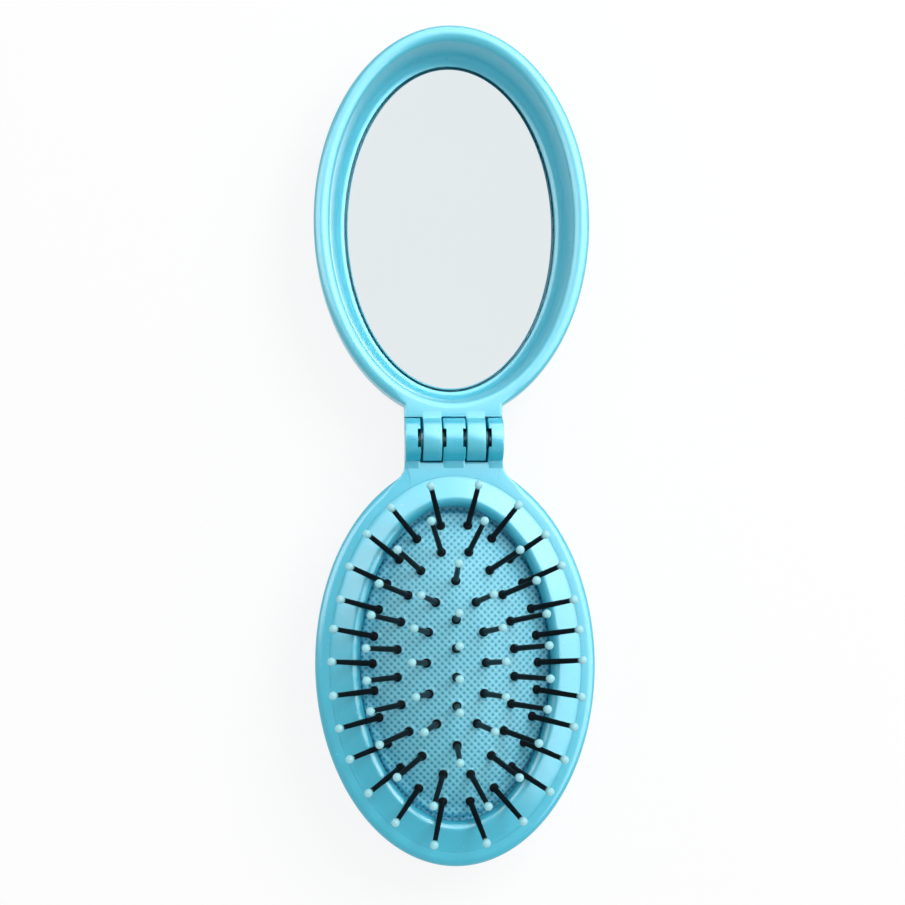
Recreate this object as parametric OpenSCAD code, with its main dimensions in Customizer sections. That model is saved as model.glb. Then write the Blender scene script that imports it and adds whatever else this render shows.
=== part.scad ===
// Folding hairbrush with mirror: an oval pin brush and an oval lid on one hinge,
// lying open on its two flat backs. X runs across the brush, +Y points to the lid
// and +Z is the way the pins stand. The origin is on the table under the hinge axis.

/* [Shells] */
// Width of the brush casing and of the lid
shell_w = 62.6; // [60:0.2:66]
// Length of the oval of the brush casing and of the lid
shell_l = 90; // [87:0.5:96]
// Height of each shell, from its flat back to its rim
shell_h = 18; // [17.75:0.25:19]
// Wall thickness of the brush casing
casing_wall = 2.2; // [1.8:0.1:2.6]
// Width of the rounding at the back edge of both shells
edge_w = 10; // [9:0.5:10.5]
// Height of the rounding at the back edge of both shells
edge_h = 12; // [10:0.5:13]
// Radius of the rounding outside each rim
rim_r = 1.7; // [1.2:0.1:1.9]
// Gap between the two rims when the brush is shut
shut_gap = 0.3; // [0.2:0.05:0.5]

/* [Hinge] */
// Distance from the end of each oval to the hinge axis
hinge_setback = 5; // [4.9:0.1:7]
// Diameter of the hinge barrel
barrel_d = 9.6; // [9:0.1:9.8]
// Width of the neck that carries the hinge
neck_w = 22; // [21:0.5:26]
// Radius of the hollow fillets where the neck meets the brush casing
neck_fillet = 4.5; // [3:0.5:6]
// How far the neck's underside slopes down to its shell
neck_drop = 6; // [5:0.5:6.5]
// Length over which the neck's underside slopes, from the shell's edge
neck_slope = 8; // [7:0.5:9]
// Width of the middle knuckle
mid_knuckle_w = 5; // [4:0.2:5.4]
// Width of each lug of the lid
lug_w = 4.2; // [3.6:0.2:4.6]
// Gap between a lug and the middle knuckle
mid_gap = 0.3; // [0.2:0.05:0.5]
// Gap between a lug and an outer knuckle
side_gap = 0.6; // [0.4:0.1:0.8]
// Gap round the barrel to the shell opposite
barrel_gap = 0.4; // [0.3:0.05:0.6]
// Diameter of the steel hinge pin
pin_d = 2; // [1.6:0.1:2.4]
// Radial clearance of the hinge pin in the lugs
pin_clearance = 0.06; // [0.02:0.01:0.1]
// How far each end of the hinge pin lies inside the neck
pin_inset = 0.3; // [0.1:0.1:1]
// Diameter of the thrust bosses beside the lugs
boss_d = 3.6; // [3.2:0.1:4]
// Clearance of each boss in its recess, all round and at its end
boss_gap = 0.25; // [0.2:0.05:0.4]
// How deep each boss reaches into its recess
boss_reach = 0.4; // [0.2:0.1:0.6]

/* [Pad frame] */
// Width of the flat rim outside the pad frame
rim_band = 3.2; // [3:0.1:3.8]
// Width of the opening that the pad shows through
opening_w = 42.8; // [41.4:0.2:43.2]
// Height of the frame's crest above the rim
crest_rise = 1.3; // [0.8:0.1:1.4]
// Radius of the rounding from the crest into the opening
crest_r = 1.7; // [1.4:0.1:1.8]
// Thickness of the frame
frame_t = 1.6; // [1.2:0.1:2]
// Depth of the frame's seat below the rim
seat_depth = 2.2; // [1.8:0.1:2.6]
// Clearance between the frame and the casing round it
frame_gap = 0.2; // [0.1:0.05:0.3]
// How far the slope from the crease to the crest bulges
frame_bulge = 0.15; // [0:0.05:0.3]

/* [Pad] */
// Radius of the domed rubber pad across the brush
dome_r = 32; // [30:0.5:36]
// Height of the middle of the pad above the rim
dome_rise = 3.7; // [3.6:0.1:4.2]
// Thickness of the rubber pad
pad_t = 1.2; // [1:0.1:1.4]
// How far each end of the pad's level crest line stops short of the oval's own
pad_spine = 2.7; // [1.7:0.1:4.7]
// How much faster the pad falls away across the brush than along it
pad_stretch = 1.09; // [1:0.01:1.1]
// Width of the seat that the pad's flange is clamped on
flange_w = 3.4; // [2.6:0.1:4]
// Clearance at the edge of the pad's flange
flange_gap = 0.1; // [0:0.05:0.3]
// Clearance round each pin where it goes through the pad
pad_gap = 0.3; // [0.2:0.05:0.4]

/* [Pins] */
// Length of a pin above the pad, with its ball
pin_l = 15; // [13:0.25:15.25]
// Diameter of a pin just above its collar
pin_root_d = 1.34; // [1.1:0.02:1.4]
// Diameter of a pin at its ball
pin_end_d = 1.1; // [0.8:0.02:1.16]
// Diameter of the collar at the foot of a pin
collar_d = 2.1; // [1.9:0.05:2.2]
// Height of the collar at the foot of a pin
collar_h = 0.7; // [0.5:0.1:0.9]
// Diameter of the ball on a pin
ball_d = 1.9; // [1.6:0.02:2]
// How far a pin reaches into its ball
ball_socket = 1; // [0.6:0.1:1.2]
// Diameter of the head under the pad
head_d = 2.2; // [2:0.1:2.4]
// Thickness of the head under the pad
head_t = 0.7; // [0.5:0.1:0.8]
// Clearance between the head and the pad
head_gap = 0.25; // [0.05:0.05:0.35]
// Width across the outer ring of pins
outer_ring_w = 36.4; // [35:0.2:37]
// Width across the second ring of pins
second_ring_w = 25.8; // [25:0.2:26.6]
// Width across the inner ring of pins
inner_ring_w = 13; // [12:0.2:14]
// Number of pins in the outer ring
outer_count = 26; // [22:4:26]
// Number of pins in the second ring
second_count = 20; // [16:4:20]
// Number of pins in the inner ring
inner_count = 12; // [8:4:12]
// Number of pins along the middle line
middle_count = 4; // [2:2:4]
// Distance between the pins of the middle line
middle_pitch = 6.34; // [6:0.1:6.6]
// Lean of the pins of the outer ring, in degrees
outer_lean = 41; // [36:0.5:42]
// Lean of the pins of the second ring, in degrees
second_lean = 31; // [24:0.5:33]
// Lean of the pins of the inner ring, in degrees
inner_lean = 15.5; // [10:0.5:18]
// Lean of the end pins of the middle line, in degrees
middle_lean = 5; // [0:0.5:7]

/* [Push plate] */
// Width of the push button in the back
button_w = 19; // [17:0.5:19.2]
// Thickness of the push button
button_t = 2.4; // [2:0.1:2.6]
// Bevel round the face of the push button
button_bevel = 0.8; // [0.4:0.1:1]
// How deep the button lies in its well while the pins are up
button_recess = 7.8; // [7.6:0.1:8.1]
// Gap between the button and the well round it
button_gap = 0.3; // [0.2:0.05:0.4]
// Wall thickness of the well
well_wall = 1.4; // [1:0.1:1.6]
// Height of the well's wall above the back
well_h = 9.2; // [8.8:0.1:9.6]
// Bevel round the mouth of the well
well_bevel = 0.8; // [0.4:0.1:1.2]
// Width of the pusher under the pad
pusher_w = 18.4; // [17:0.2:18.8]
// Thickness of the pusher at its edge
pusher_t = 1.5; // [1.2:0.1:2]
// Clearance between the pin heads and the pusher
pusher_gap = 0.1; // [0.05:0.05:0.2]
// Diameter of the pusher's four legs
leg_d = 3.2; // [2.6:0.2:4]
// Distance between the pusher's legs across the brush
leg_x = 10; // [8:0.5:11]
// Distance between the pusher's legs along the brush
leg_y = 24; // [20:1:28]

/* [Lid] */
// Radius of the rounding inside the lid's rim
lip_r = 1.9; // [1.4:0.1:2.1]
// Width of the lid's level rim between its two roundings
lip_land = 0.2; // [0.1:0.1:0.4]
// How far the lid's inner wall leans in, from its lip to its foot
wall_draft = 1; // [0.6:0.1:1.4]
// Width of the mirror
mirror_w = 47.6; // [46:0.2:48]
// Thickness of the mirror glass
mirror_t = 2.2; // [1.8:0.1:2.4]
// Depth of the mirror's face below the lid's rim
mirror_depth = 12; // [11.8:0.1:12.4]
// Gap round the mirror's edge
mirror_gap = 0.5; // [0.3:0.1:0.7]
// Bevel round the mirror's face
mirror_bevel = 0.3; // [0.2:0.1:0.5]
// Thickness of the foam tape behind the mirror
tape_t = 0.8; // [0.5:0.1:1]
// How far the tape lies inside the mirror's edge
tape_inset = 2; // [1:0.5:5]
// Height of the hollow rounding between the mirror and the lid's inner wall
cove_h = 4.5; // [3:0.5:6]

/* [Hidden] */

sides = 64;            // facets round an oval
edge_steps = 6;        // facets over a large rounding
small_steps = 3;       // facets over a small rounding
arc_step = 2;          // degrees between points measured along a ring of pins
overlap = 0.5;         // how far joined shapes run into each other
fillet_bite = 0.15;    // how far the round of a neck fillet runs into the oval
$fn = 40;

// Outline and heights
half_w = shell_w / 2;
oval_extra = (shell_l - shell_w) / 2;      // half length of an oval less its half width
centre_y = shell_l / 2 + hinge_setback;    // from the hinge axis to the middle of an oval
rim_z = shell_h;
axis_z = rim_z + shut_gap / 2;
back_a = half_w - edge_w;                  // half width of the flat back
crease_a = half_w - rim_band;
opening_a = opening_w / 2;
crest_a = opening_a + crest_r;
core_a = half_w - casing_wall + overlap / 2;  // inside the shell wall, just off its inner face

// Rubber pad
apex_z = rim_z + dome_rise;
foot_z = dome_z(opening_a);                // top of the clamped flange
flange_a = opening_a + flange_w;
min_a = pad_t / 2;                         // half width of the level strip on a dome's crest

// Pins
outer_a = outer_ring_w / 2;
second_a = second_ring_w / 2;
inner_a = inner_ring_w / 2;
side_sector = 17.5;                        // the side pins lie within this angle of the X axis
end_sector = 33;                           // the end pins lie within this angle of the Y axis
head_z = -(pad_t + head_gap + head_t);          // underside of a pin's head, along the pin

// Push plate
button_a = button_w / 2;
well_a = button_a + button_gap;
pusher_a = pusher_w / 2;
pusher_drop = pusher_gap - head_z;         // pusher's top below the pad's top
button_top = button_recess + button_t;
pusher_z = dome_z(pusher_a) - pusher_drop - pusher_t;

// Hinge
barrel_r = barrel_d / 2;
neck_a = neck_w / 2;
mid_a = mid_knuckle_w / 2;
lug_x = mid_a + mid_gap;
side_x = lug_x + lug_w + side_gap;
slot_y = barrel_r + barrel_gap;
web_l = slot_y + neck_slope;
bore_l = neck_w + 2 * overlap;

// Lid
lip_a = half_w - rim_r - lip_land - lip_r; // half width inside the lip's rounding
wall_foot_a = lip_a - wall_draft;
mirror_a = mirror_w / 2;
mirror_z = rim_z - mirror_depth;
pocket_a = mirror_a + mirror_gap;
glass_z = mirror_z - mirror_t;
floor_z = glass_z - tape_t;

function dome_z(a) = apex_z - dome_r + sqrt(dome_r * dome_r - a * a);
function pad_b(a) = oval_extra - pad_spine + pad_stretch * a;

// One level of a loft: [half width, half length, height]
function oval(a, z) = [a, a + oval_extra, z];
function pad_oval(a, z) = [a, pad_b(a), z];

// Levels over the rounded back edge, from the flat back up to the side wall
function edge_levels(inset) = [
    for (i = [0 : edge_steps])
        let (t = 90 * i / edge_steps)
        oval(back_a + (edge_w - inset) * sin(t), inset + (edge_h - inset) * (1 - cos(t)))];

// Levels over the rounding outside a rim, going up
function rim_levels() = [
    for (i = [0 : small_steps])
        let (t = 90 * i / small_steps)
        oval(half_w - rim_r + rim_r * cos(t), rim_z - rim_r + rim_r * sin(t))];

function reversed(list) = [for (i = [len(list) - 1 : -1 : 0]) list[i]];

// Half widths of the levels over a dome, from its crest out to half width a
function dome_steps(a) = [for (share = [0.25, 0.45, 0.62, 0.77, 0.89, 1]) a * share];

// Solid inside a stack of ovals, the first facing down. An open stack is closed by
// flat ends; a looped one goes up outside, in over the top and down its opening.
module loft(levels, looped = false) {
    n = len(levels);
    points = [
        for (level = levels, i = [0 : sides - 1])
            let (t = 360 * i / sides)
            [level[0] * cos(t), level[1] * sin(t), level[2]]];
    walls = [
        for (k = [0 : n - (looped ? 1 : 2)], i = [0 : sides - 1])
            let (j = (i + 1) % sides, up = (k + 1) % n)
            [k * sides + i, up * sides + i, up * sides + j, k * sides + j]];
    ends = looped ? [] : [
        [for (i = [0 : sides - 1]) i],
        [for (i = [0 : sides - 1]) n * sides - 1 - i]];
    polyhedron(points, concat(walls, ends), convexity = 8);
}

module oval_2d(a) {
    polygon([
        for (i = [0 : sides - 1])
            let (t = 360 * i / sides)
            [a * cos(t), (a + oval_extra) * sin(t)]]);
}

module at_brush() { translate([0, -centre_y, 0]) children(); }
module at_lid() { translate([0, centre_y, 0]) children(); }

// Cylinder along the hinge axis, from x to x + w
module axle(x, w, d) {
    translate([x, 0, axis_z]) rotate([0, 90, 0]) cylinder(h = w, d = d);
}

// Extrudes a profile, drawn as [y, z], from x to x + w
module across(x, w) {
    translate([x, 0, 0]) rotate([90, 0, 90]) linear_extrude(height = w) children();
}

module below_table() {
    translate([-shell_w, -2 * shell_l, -10]) cube([2 * shell_w, 4 * shell_l, 10]);
}

// Hinge

// Side view of the neck's web, on the -Y side of the axis
module web_profile() {
    polygon([
        [0, rim_z], [0, axis_z - barrel_r],
        [-web_l, axis_z - barrel_r - neck_drop], [-web_l, rim_z]]);
}

// Knuckle from x to x + w, with the web that ties it to the shell on the -Y side
module knuckle(x, w) {
    axle(x, w, barrel_d);
    difference() {
        across(x, w) web_profile();
        neck_core();
    }
}

// Space inside the shell wall, which the neck leaves free
module neck_core() {
    at_brush() linear_extrude(height = rim_z + overlap) oval_2d(core_a);
}

// Point at angle t on the outline of an oval, and the direction square to it there
function end_point(t) = [half_w * cos(t), (half_w + oval_extra) * sin(t)];
function end_normal(t) =
    let (n = [cos(t) / half_w, sin(t) / (half_w + oval_extra)]) n / norm(n);

// Middle of a fillet that runs a little into the oval at angle t
function fillet_centre(t) = end_point(t) + (neck_fillet - fillet_bite) * end_normal(t);

// Angle at which that fillet touches the neck's side too
function fillet_angle() =
    lookup(neck_a + neck_fillet, [for (t = [90 : -1 : 45]) [fillet_centre(t)[0], t]]);

// Plan of the neck at the shell, drawn round the middle of the oval
module neck_plan(filleted) {
    end_y = centre_y - slot_y;
    root_y = centre_y - web_l;
    translate([-neck_a, root_y]) square([neck_w, end_y - root_y]);
    if (filleted) {
        middle = fillet_centre(fillet_angle());
        out = end_normal(fillet_angle());
        for (side = [0, 1])
            mirror([side, 0])
            difference() {
                polygon([
                    [neck_a - overlap, middle[1]], [neck_a, middle[1]],
                    middle - neck_fillet * out, middle - (neck_fillet + rim_r) * out,
                    [neck_a - overlap, root_y]]);
                translate(middle) circle(r = neck_fillet);
            }
    }
}

// Block that joins the neck to the shell on the -Y side
module neck_block(filleted) {
    difference() {
        intersection() {
            at_brush() linear_extrude(height = rim_z) neck_plan(filleted);
            across(-neck_w, 2 * neck_w) web_profile();
        }
        neck_core();
    }
}

// Casing of the brush

module back_shell() {
    shelf_a = crease_a - frame_t;
    rib_z = foot_z - pad_t;
    inner_edge = reversed(edge_levels(casing_wall));
    rib_a = flange_a - frame_t - overlap;
    color([0.27, 0.67, 0.78])
    difference() {
        union() {
            at_brush() difference() {
                loft(concat(
                    [oval(back_a, -overlap)],
                    edge_levels(0),
                    rim_levels(),
                    [oval(crease_a, rim_z), oval(crease_a, rim_z - seat_depth)],
                    [oval(shelf_a, rim_z - seat_depth)],
                    [oval(shelf_a, rim_z - seat_depth - frame_t)],
                    [oval(half_w - casing_wall, rim_z - seat_depth - frame_t)],
                    inner_edge,
                    [oval(well_a + well_wall, casing_wall), oval(well_a + well_wall, well_h)],
                    [oval(well_a, well_h), oval(well_a, well_bevel)],
                    [oval(well_a + well_bevel, 0), oval(well_a + well_bevel, -overlap)]
                ), looped = true);
            }
            at_brush() flange_rib(rib_a, flange_a, rib_z);
            neck_block(true);
            knuckle(-neck_a, neck_a - side_x);
            knuckle(-mid_a, mid_knuckle_w);
            knuckle(side_x, neck_a - side_x);
        }
        axle(-bore_l / 2, bore_l, pin_d);
        for (side = [-1, 1]) {
            axle_recess(side * side_x, side);
            axle_recess(side * mid_a, -side);
        }
        below_table();
    }
}

// Rib on the floor of the casing that carries the flange of the pad
module flange_rib(inner, outer, top) {
    translate([0, 0, casing_wall / 2])
    linear_extrude(height = top - casing_wall / 2)
    difference() {
        oval_2d(outer);
        oval_2d(inner);
    }
}

// Recess that a lug's boss turns in, cut from x into the knuckle on the side given. It is
// open at the top, where the boss is snapped in.
module axle_recess(x, side) {
    depth = boss_reach + boss_gap;
    width = boss_d + 2 * boss_gap;
    start = side > 0 ? x : x - depth;
    axle(start, depth, width);
    translate([start, -width / 2, axis_z]) cube([depth, width, width]);
}

module pad_frame() {
    outer_a = crease_a - frame_gap;
    crest_z = rim_z + crest_rise;
    under_z = crest_z - frame_t;
    foot_a = crease_a - frame_t + frame_gap;
    color([0.45, 0.78, 0.88])
    at_brush()
    loft(concat(
        [oval(outer_a, rim_z - seat_depth), oval(outer_a, rim_z)],
        [oval((outer_a + crest_a) / 2, (rim_z + crest_z) / 2 + frame_bulge)],
        [for (i = [0 : small_steps])
            let (t = 90 * i / small_steps)
            oval(crest_a - crest_r * sin(t), crest_z - crest_r + crest_r * cos(t))],
        [oval(opening_a, foot_z), oval(opening_a + frame_t, foot_z)],
        [oval(opening_a + frame_t, under_z - crest_r / 2)],
        [oval(crest_a + frame_t, under_z - 2 * frame_bulge)],
        [oval(foot_a, rim_z - frame_t / 2), oval(foot_a, rim_z - seat_depth)]
    ), looped = true);
}

// Domed rubber membrane that holds the pins
module pad() {
    steps = dome_steps(opening_a);
    hole_d = pin_root_d + 2 * pad_gap;
    color([0.25, 0.62, 0.70])
    at_brush()
    difference() {
        loft(concat(
            [pad_oval(min_a, dome_z(min_a) - pad_t)],
            [for (a = steps) pad_oval(a, dome_z(a) - pad_t)],
            [oval(flange_a - flange_gap, foot_z - pad_t), oval(flange_a - flange_gap, foot_z)],
            [oval(opening_a, foot_z)],
            [for (a = reversed(steps)) if (a < opening_a) pad_oval(a, dome_z(a))],
            [pad_oval(min_a, dome_z(min_a))]
        ));
        for (pin = all_pins())
            place(pin)
            translate([0, 0, -2 * pad_t]) cylinder(h = 4 * pad_t, d = hole_d, $fn = 8);
    }
}

// Pins

function point(a, b, t) = [a * cos(t), b * sin(t)];

// Pairs of distance along an ellipse and angle, all the way round
function arc_table(a, b) = [
    for (t = 0, s = 0; t <= 360;
         s = s + norm(point(a, b, t + arc_step) - point(a, b, t)), t = t + arc_step)
        [s, t]];

// Pins of one ring, evenly spaced along it, each as [x, y, z, azimuth, lean]
function ring_pins(a, count, phase, lean) =
    let (b = pad_b(a), table = arc_table(a, b), girth = table[len(table) - 1][0])
    [for (i = [0 : count - 1])
        let (p = point(a, b, lookup((i + phase) * girth / count, table)))
        [p[0], p[1], dome_z(a), atan2(p[1] / (b * b), p[0] / (a * a)), lean]];

function middle_pins() =
    let (last = (middle_count - 1) / 2)
    [for (i = [0 : middle_count - 1])
        [0, (i - last) * middle_pitch, apex_z, i > last ? 90 : -90,
         middle_lean * abs(i - last) / last]];

function inner_pins() = ring_pins(inner_a, inner_count, 0, inner_lean);
function rim_pins() = concat(
    ring_pins(outer_a, outer_count, 0, outer_lean),
    ring_pins(second_a, second_count, 0.5, second_lean));
function all_pins() = concat(rim_pins(), inner_pins(), middle_pins());

// Pins of the two outer rings whose azimuth lies between two angles
function sector_pins(from, to) = [
    for (pin = rim_pins()) if ((pin[3] - from + 720) % 360 < to - from) pin];

// Puts a shape drawn along +Z at a pin's foot on the pad
module place(pin) {
    translate([pin[0], pin[1], pin[2]]) rotate([0, pin[4], pin[3]]) children();
}

// Turned pin: head, neck through the pad, collar, tapering shank and spigot
module pin_body() {
    neck_r = pin_root_d / 2;
    end_r = pin_end_d / 2;
    socket_z = pin_l - ball_d + (ball_d - ball_socket) / 2;
    rotate_extrude()
    polygon([
        [0, head_z], [head_d / 2, head_z], [head_d / 2, head_z + head_t],
        [neck_r, head_z + head_t], [neck_r, pad_gap], [collar_d / 2, pad_gap],
        [collar_d / 2, pad_gap + collar_h * 0.6], [neck_r, pad_gap + collar_h],
        [end_r, socket_z], [end_r, socket_z + ball_socket], [0, socket_z + ball_socket]]);
}

module pin_ball() {
    ball_r = ball_d / 2;
    end_r = pin_end_d / 2;
    socket_z = pin_l - ball_d + (ball_d - ball_socket) / 2;
    difference() {
        translate([0, 0, pin_l - ball_r]) sphere(r = ball_r, $fn = 24);
        translate([0, 0, socket_z - ball_d]) cylinder(h = ball_socket + ball_d, r = end_r);
    }
}

module pins(list) {
    color([0.05, 0.05, 0.06])
    at_brush()
    for (pin = list)
        place(pin) pin_body();
}

module balls(list) {
    color([0.72, 0.94, 0.93])
    at_brush()
    for (pin = list)
        place(pin) pin_ball();
}

function right_set() = sector_pins(-side_sector, side_sector);
function near_right_set() = sector_pins(side_sector, 90 - end_sector);
function near_set() = sector_pins(90 - end_sector, 90 + end_sector);
function near_left_set() = sector_pins(90 + end_sector, 180 - side_sector);
function left_set() = sector_pins(180 - side_sector, 180 + side_sector);
function far_left_set() = sector_pins(180 + side_sector, 270 - end_sector);
function far_set() = sector_pins(270 - end_sector, 270 + end_sector);
function far_right_set() = sector_pins(270 + end_sector, 360 - side_sector);

// Push plate

// Plate under the pin heads, on four legs that stand on the button
module pusher() {
    steps = dome_steps(pusher_a);
    color([0.85, 0.93, 0.95])
    at_brush() {
        loft(concat(
            [pad_oval(pusher_a, pusher_z)],
            [for (a = reversed(steps)) pad_oval(a, dome_z(a) - pusher_drop)],
            [pad_oval(min_a, dome_z(min_a) - pusher_drop)]
        ));
        for (x = [-1, 1], y = [-1, 1])
            translate([x * leg_x / 2, y * leg_y / 2, button_top])
            cylinder(h = pusher_z - button_top + overlap, d = leg_d);
    }
}

module pop_button() {
    color([0.20, 0.60, 0.72])
    at_brush()
    loft([
        oval(button_a - button_bevel, button_recess),
        oval(button_a, button_recess + button_bevel),
        oval(button_a, button_top)]);
}

module hinge_pin() {
    color([0.75, 0.76, 0.78])
    axle(pin_inset - neck_a, neck_w - 2 * pin_inset, pin_d);
}

// Lid

module lid_shell() {
    bore_d = pin_d + 2 * pin_clearance;
    color([0.35, 0.75, 0.86])
    difference() {
        union() {
            at_lid()
            loft(concat(
                [oval(back_a, -overlap)],
                edge_levels(0),
                rim_levels(),
                [for (i = [0 : small_steps])
                    let (t = 90 * i / small_steps)
                    oval(lip_a + lip_r * (1 - sin(t)), rim_z - lip_r * (1 - cos(t)))],
                [for (i = [0 : small_steps])
                    let (t = 90 * i / small_steps)
                    oval(pocket_a + (wall_foot_a - pocket_a) * cos(t), mirror_z + cove_h * (1 - sin(t)))],
                [oval(pocket_a, floor_z)]
            ));
            mirror([0, 1, 0]) {
                neck_block(false);
                knuckle(lug_x, lug_w);
                knuckle(-lug_x - lug_w, lug_w);
            }
            for (side = [-1, 1])
                axle(side * (lug_x + lug_w / 2) - boss_l() / 2 + side * (side_gap - mid_gap) / 2,
                     boss_l(), boss_d);
        }
        axle(-bore_l / 2, bore_l, bore_d);
        below_table();
    }
}

// Length of a lug with its two bosses
function boss_l() = lug_w + mid_gap + side_gap + 2 * boss_reach;

module mirror_glass() {
    color([0.85, 0.91, 0.93])
    at_lid()
    loft([
        oval(mirror_a, glass_z),
        oval(mirror_a, mirror_z - mirror_bevel),
        oval(mirror_a - mirror_bevel, mirror_z)]);
}

module mirror_tape() {
    color([0.93, 0.93, 0.90])
    at_lid()
    translate([0, 0, floor_z])
    linear_extrude(height = tape_t)
    oval_2d(mirror_a - tape_inset);
}

back_shell();
pad_frame();
pad();
pusher();
pop_button();
hinge_pin();
lid_shell();
mirror_glass();  // mirror
mirror_tape();
pins(right_set());  // pins_right
pins(near_right_set());  // pins_near_right
pins(near_set());  // pins_near
pins(near_left_set());  // pins_near_left
pins(left_set());  // pins_left
pins(far_left_set());  // pins_far_left
pins(far_set());  // pins_far
pins(far_right_set());  // pins_far_right
pins(inner_pins());  // pins_inner
pins(middle_pins());  // pins_middle
balls(right_set());  // balls_right
balls(near_right_set());  // balls_near_right
balls(near_set());  // balls_near
balls(near_left_set());  // balls_near_left
balls(left_set());  // balls_left
balls(far_left_set());  // balls_far_left
balls(far_set());  // balls_far
balls(far_right_set());  // balls_far_right
balls(inner_pins());  // balls_inner
balls(middle_pins());  // balls_middle
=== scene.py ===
"""Looks of a folding hairbrush with mirror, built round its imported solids.

Sizes are millimetres and angles degrees until a mesh is made. A mesh is in metres, in
the frame of the solids: X runs across the brush, +Y from the hinge to the lid, +Z is
the way the pins stand, and the origin is on the table under the hinge axis.
"""

from __future__ import annotations

import logging
import math
from dataclasses import dataclass, field
from enum import Enum

import bpy
import numpy as np
from mathutils import Matrix, Vector

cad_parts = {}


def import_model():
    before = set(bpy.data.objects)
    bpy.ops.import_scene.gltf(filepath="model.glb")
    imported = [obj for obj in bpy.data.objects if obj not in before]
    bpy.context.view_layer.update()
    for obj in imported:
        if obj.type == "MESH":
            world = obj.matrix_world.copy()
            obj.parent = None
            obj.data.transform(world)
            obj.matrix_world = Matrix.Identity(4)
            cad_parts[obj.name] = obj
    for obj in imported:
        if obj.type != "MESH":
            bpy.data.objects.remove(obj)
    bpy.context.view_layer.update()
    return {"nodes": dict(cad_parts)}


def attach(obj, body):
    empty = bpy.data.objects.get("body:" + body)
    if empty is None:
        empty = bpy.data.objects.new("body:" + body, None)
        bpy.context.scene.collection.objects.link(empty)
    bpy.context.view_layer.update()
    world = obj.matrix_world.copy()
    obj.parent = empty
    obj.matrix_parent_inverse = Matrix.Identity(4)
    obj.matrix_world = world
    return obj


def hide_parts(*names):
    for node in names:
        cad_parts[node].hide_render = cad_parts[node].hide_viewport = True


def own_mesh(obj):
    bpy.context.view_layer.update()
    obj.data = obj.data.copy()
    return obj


LOG = logging.getLogger("hairbrush")
MM = 0.001
Rows = list[np.ndarray]


# Small helpers


def linear(colour: str) -> tuple[float, float, float, float]:
    """Turn an sRGB hex colour into linear red, green and blue with an alpha of 1."""
    parts = np.array([int(colour[i : i + 2], 16) for i in (1, 3, 5)]) / 255
    low = parts / 12.92
    high = ((parts + 0.055) / 1.055) ** 2.4
    red, green, blue = np.where(parts <= 0.04045, low, high)
    return float(red), float(green), float(blue), 1.0


def smooth(low: float, high: float, value: np.ndarray) -> np.ndarray:
    """Rise smoothly from 0 at low to 1 at high, as 3u^2 - 2u^3."""
    share = np.clip((value - low) / (high - low), 0, 1)
    return share * share * (3 - 2 * share)


def quads(rows: int, columns: int, loop: bool) -> np.ndarray:
    """Four point numbers for each face between closed rings of so many columns.

    With loop, the last ring joins the first.
    """
    row, column = np.meshgrid(
        np.arange(rows if loop else rows - 1), np.arange(columns), indexing="ij"
    )
    above, beside = (row + 1) % rows, (column + 1) % columns
    corners = [
        row * columns + column,
        row * columns + beside,
        above * columns + beside,
        above * columns + column,
    ]
    return np.stack(corners, -1).reshape(-1, 4)


def sweep(rings: Rows, loop: bool = False) -> tuple[np.ndarray, list]:
    """Join rings of points into a closed skin.

    Args:
        rings: arrays of points, all of one length, going up the outside.
        loop: whether the last ring joins the first; otherwise flat ends close it.

    Returns:
        All points in millimetres, and the faces.
    """
    count = len(rings[0])
    faces = quads(len(rings), count, loop).tolist()
    if not loop:
        faces.append(list(range(count))[::-1])
        faces.append(list(range((len(rings) - 1) * count, len(rings) * count)))
    return np.concatenate(rings), faces


def signed_volume(points: np.ndarray, faces: list) -> float:
    """Volume inside a skin, negative if its faces point inwards.

    It adds up the volumes of the pyramids from the origin to each face's fan.
    """
    total = 0.0
    for size in {len(face) for face in faces}:
        group = np.array([face for face in faces if len(face) == size])
        first = points[group[:, 0]]
        for i in range(1, size - 1):
            a, b = points[group[:, i]], points[group[:, i + 1]]
            total += float(np.einsum("ij,ij->i", first, np.cross(a, b)).sum()) / 6
    return total


def outwards(points: np.ndarray, faces: list) -> tuple[np.ndarray, list]:
    """Turn a skin's faces round if they point inwards."""
    return points, faces if signed_volume(points, faces) > 0 else [face[::-1] for face in faces]


def round_turns(count: int) -> np.ndarray:
    """Evenly spaced angles once round, from 0, in radians."""
    return np.linspace(0, 2 * math.pi, count + 1)[:-1]


def linked(name: str, data: bpy.types.ID) -> bpy.types.Object:
    """Put a new object for a mesh, a lamp or a camera into the scene."""
    made = bpy.data.objects.new(name, data)
    bpy.context.scene.collection.objects.link(made)
    return made


def make_piece(
    name: str, points: np.ndarray, faces: list, finish: Palette | None = None, sharp: float = 34
) -> bpy.types.Object:
    """Make a smooth-shaded object from points and faces.

    Args:
        name: name of the piece.
        points: places in millimetres.
        faces: point numbers of each face.
        finish: finish of all of the piece, if it has only one.
        sharp: angle in degrees past which an edge stays sharp.

    Returns:
        The new object, at the origin, with its faces pointing outwards.
    """
    points, faces = outwards(points, faces)
    mesh = bpy.data.meshes.new(name)
    mesh.from_pydata((points * MM).tolist(), [], faces)
    mesh.polygons.foreach_set("use_smooth", [True] * len(mesh.polygons))
    mesh.set_sharp_from_angle(angle=math.radians(sharp))
    mesh.update()
    piece = linked(name, mesh)
    if finish:
        dress(piece, finish)
    return piece


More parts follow.
